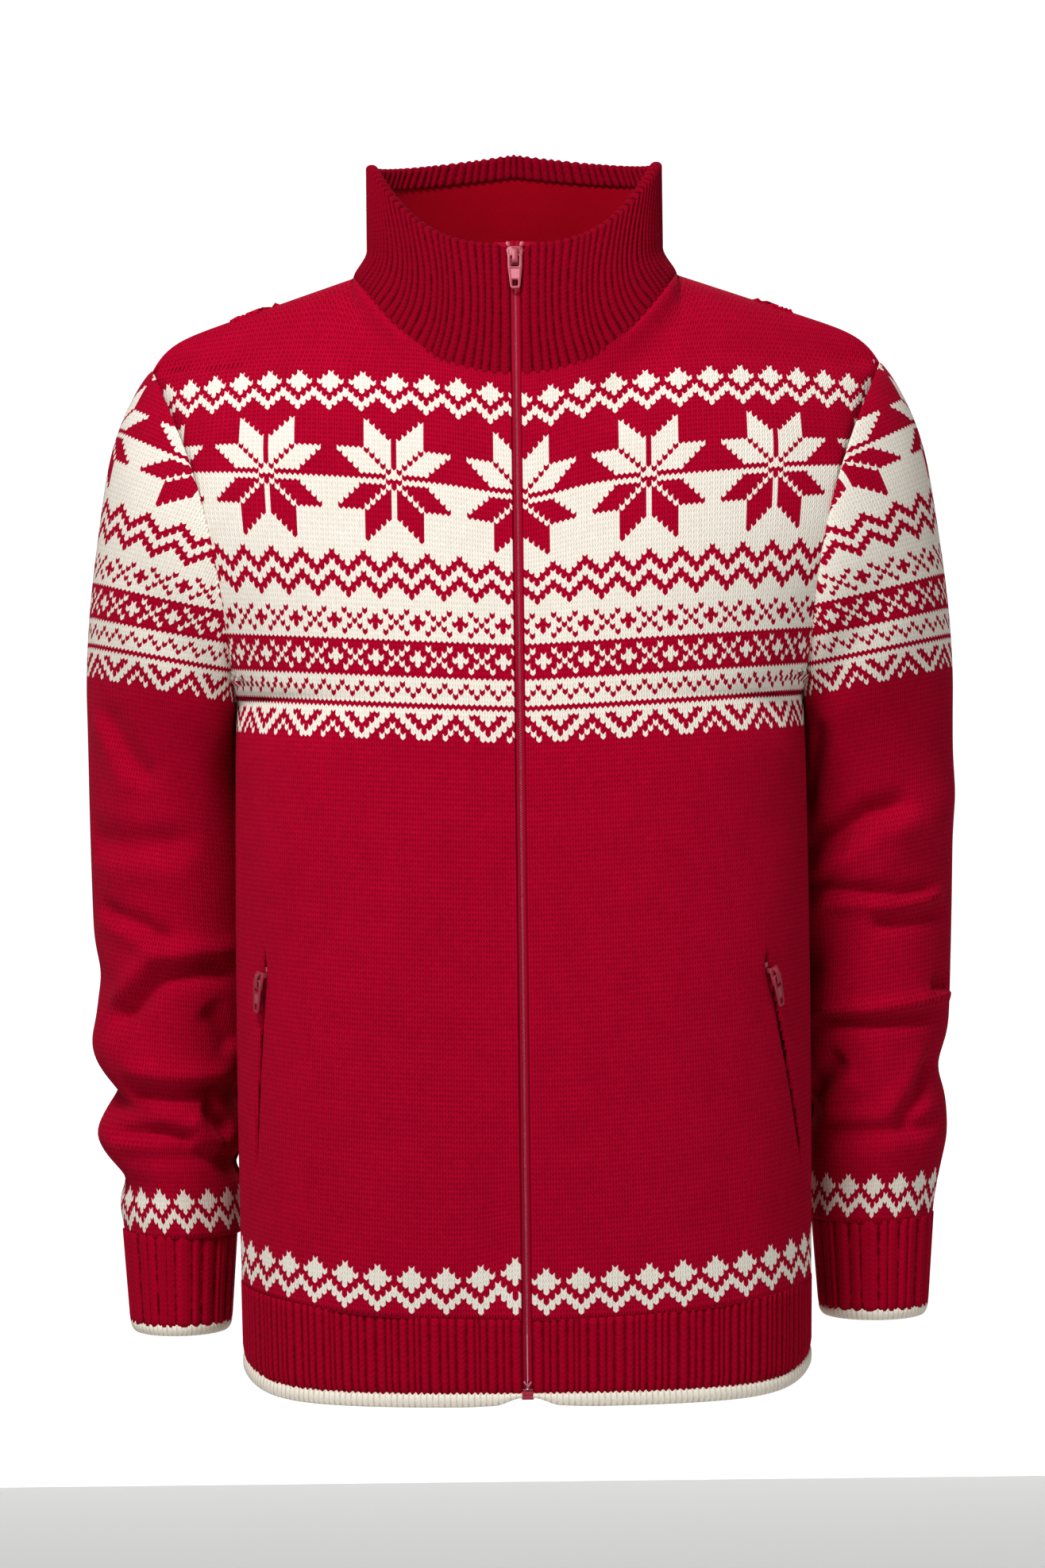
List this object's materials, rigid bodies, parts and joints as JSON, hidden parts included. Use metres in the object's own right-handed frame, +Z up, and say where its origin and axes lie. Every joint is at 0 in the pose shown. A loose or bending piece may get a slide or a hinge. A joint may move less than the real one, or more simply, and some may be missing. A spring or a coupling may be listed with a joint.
{
  "type": "knitted zip jacket",
  "caption": "Knitted jacket with stand-up collar, patterned yoke and hem, open-ended front zip and zipped side pockets, shown shut as worn.",
  "frame": {"origin": "middle of the shoulder line, where the wearer's shoulders carry the jacket", "axes": "+Z up; the wearer faces -Y; +X is the wearer's left"},
  "size_m": [0.5553, 0.2426, 0.772],
  "materials": {
    "red_knit": "stocking-stitch wool, matt",
    "light_knit": "cream wool, matt",
    "fleece": "short dark red fleece",
    "zip_tape": "woven tape",
    "zip_coil": "dark red nylon coil",
    "zip_plastic": "moulded red plastic",
    "red_metal": "satin paint, lighter worn edges",
    "pocket_cloth": "plain thin cloth"
  },
  "bodies": {
    "garment": {"right_front_panel": "red_knit", "left_front_panel": "red_knit", "back_panel": "red_knit", "right_sleeve": "red_knit", "left_sleeve": "red_knit", "right_cuff_rib": "red_knit", "left_cuff_rib": "red_knit", "right_cuff_edge": "light_knit", "left_cuff_edge": "light_knit", "right_front_hem_rib": "red_knit", "left_front_hem_rib": "red_knit", "back_hem_rib": "red_knit", "right_front_hem_edge": "light_knit", "left_front_hem_edge": "light_knit", "back_hem_edge": "light_knit", "collar": "red_knit", "collar_lining": "fleece", "right_front_lining": "fleece", "left_front_lining": "fleece", "back_lining": "fleece", "right_zip_tape": "zip_tape", "left_zip_tape": "zip_tape", "right_zip_coil": "zip_coil", "left_zip_coil": "zip_coil", "right_top_stop": "red_metal", "left_top_stop": "red_metal", "zip_insertion_pin": "zip_plastic", "zip_retainer_box": "zip_plastic", "right_pocket_bag": "pocket_cloth", "left_pocket_bag": "pocket_cloth", "right_pocket_tape": "zip_tape", "left_pocket_tape": "zip_tape", "right_pocket_coil": "zip_coil", "left_pocket_coil": "zip_coil", "right_pocket_top_stop": "red_metal", "left_pocket_top_stop": "red_metal", "right_pocket_foot_stop": "red_metal", "left_pocket_foot_stop": "red_metal"},
    "main_slider": {"main_slider": "red_metal"},
    "main_pull": {"main_pull_tab": "red_metal"},
    "right_pocket_slider": {"right_pocket_slider": "red_metal"},
    "right_pocket_pull": {"right_pocket_pull_tab": "red_metal"},
    "left_pocket_slider": {"left_pocket_slider": "red_metal"},
    "left_pocket_pull": {"left_pocket_pull_tab": "red_metal"}
  },
  "joints": [
    {"name": "main_slider_travel", "type": "hinge", "parent": "garment", "child": "main_slider", "pos_m": [0, 1.5684, -0.4369], "axis": [1, 0, 0], "range_deg": [0, 23.02]},
    {"name": "main_pull_swing", "type": "hinge", "parent": "main_slider", "child": "main_pull", "pos_m": [0, -0.07421, 0.00706], "axis": [-1, 0, 0], "range_deg": [0, 165]},
    {"name": "right_pocket_slider_travel", "type": "slide", "parent": "garment", "child": "right_pocket_slider", "axis": [-0.0543, 0.1031, -0.9932], "range_m": [0, 0.106]},
    {"name": "right_pocket_pull_swing", "type": "hinge", "parent": "right_pocket_slider", "child": "right_pocket_pull", "pos_m": [-0.1625, -0.0811, -0.4348], "axis": [-0.538, 0.8349, 0.1161], "range_deg": [0, 165]},
    {"name": "left_pocket_slider_travel", "type": "slide", "parent": "garment", "child": "left_pocket_slider", "axis": [0.1635, 0.2616, -0.9512], "range_m": [0, 0.112]},
    {"name": "left_pocket_pull_swing", "type": "hinge", "parent": "left_pocket_slider", "child": "left_pocket_pull", "pos_m": [0.15445, -0.09226, -0.43447], "axis": [-0.5508, -0.7757, -0.308], "range_deg": [0, 165]}
  ]
}
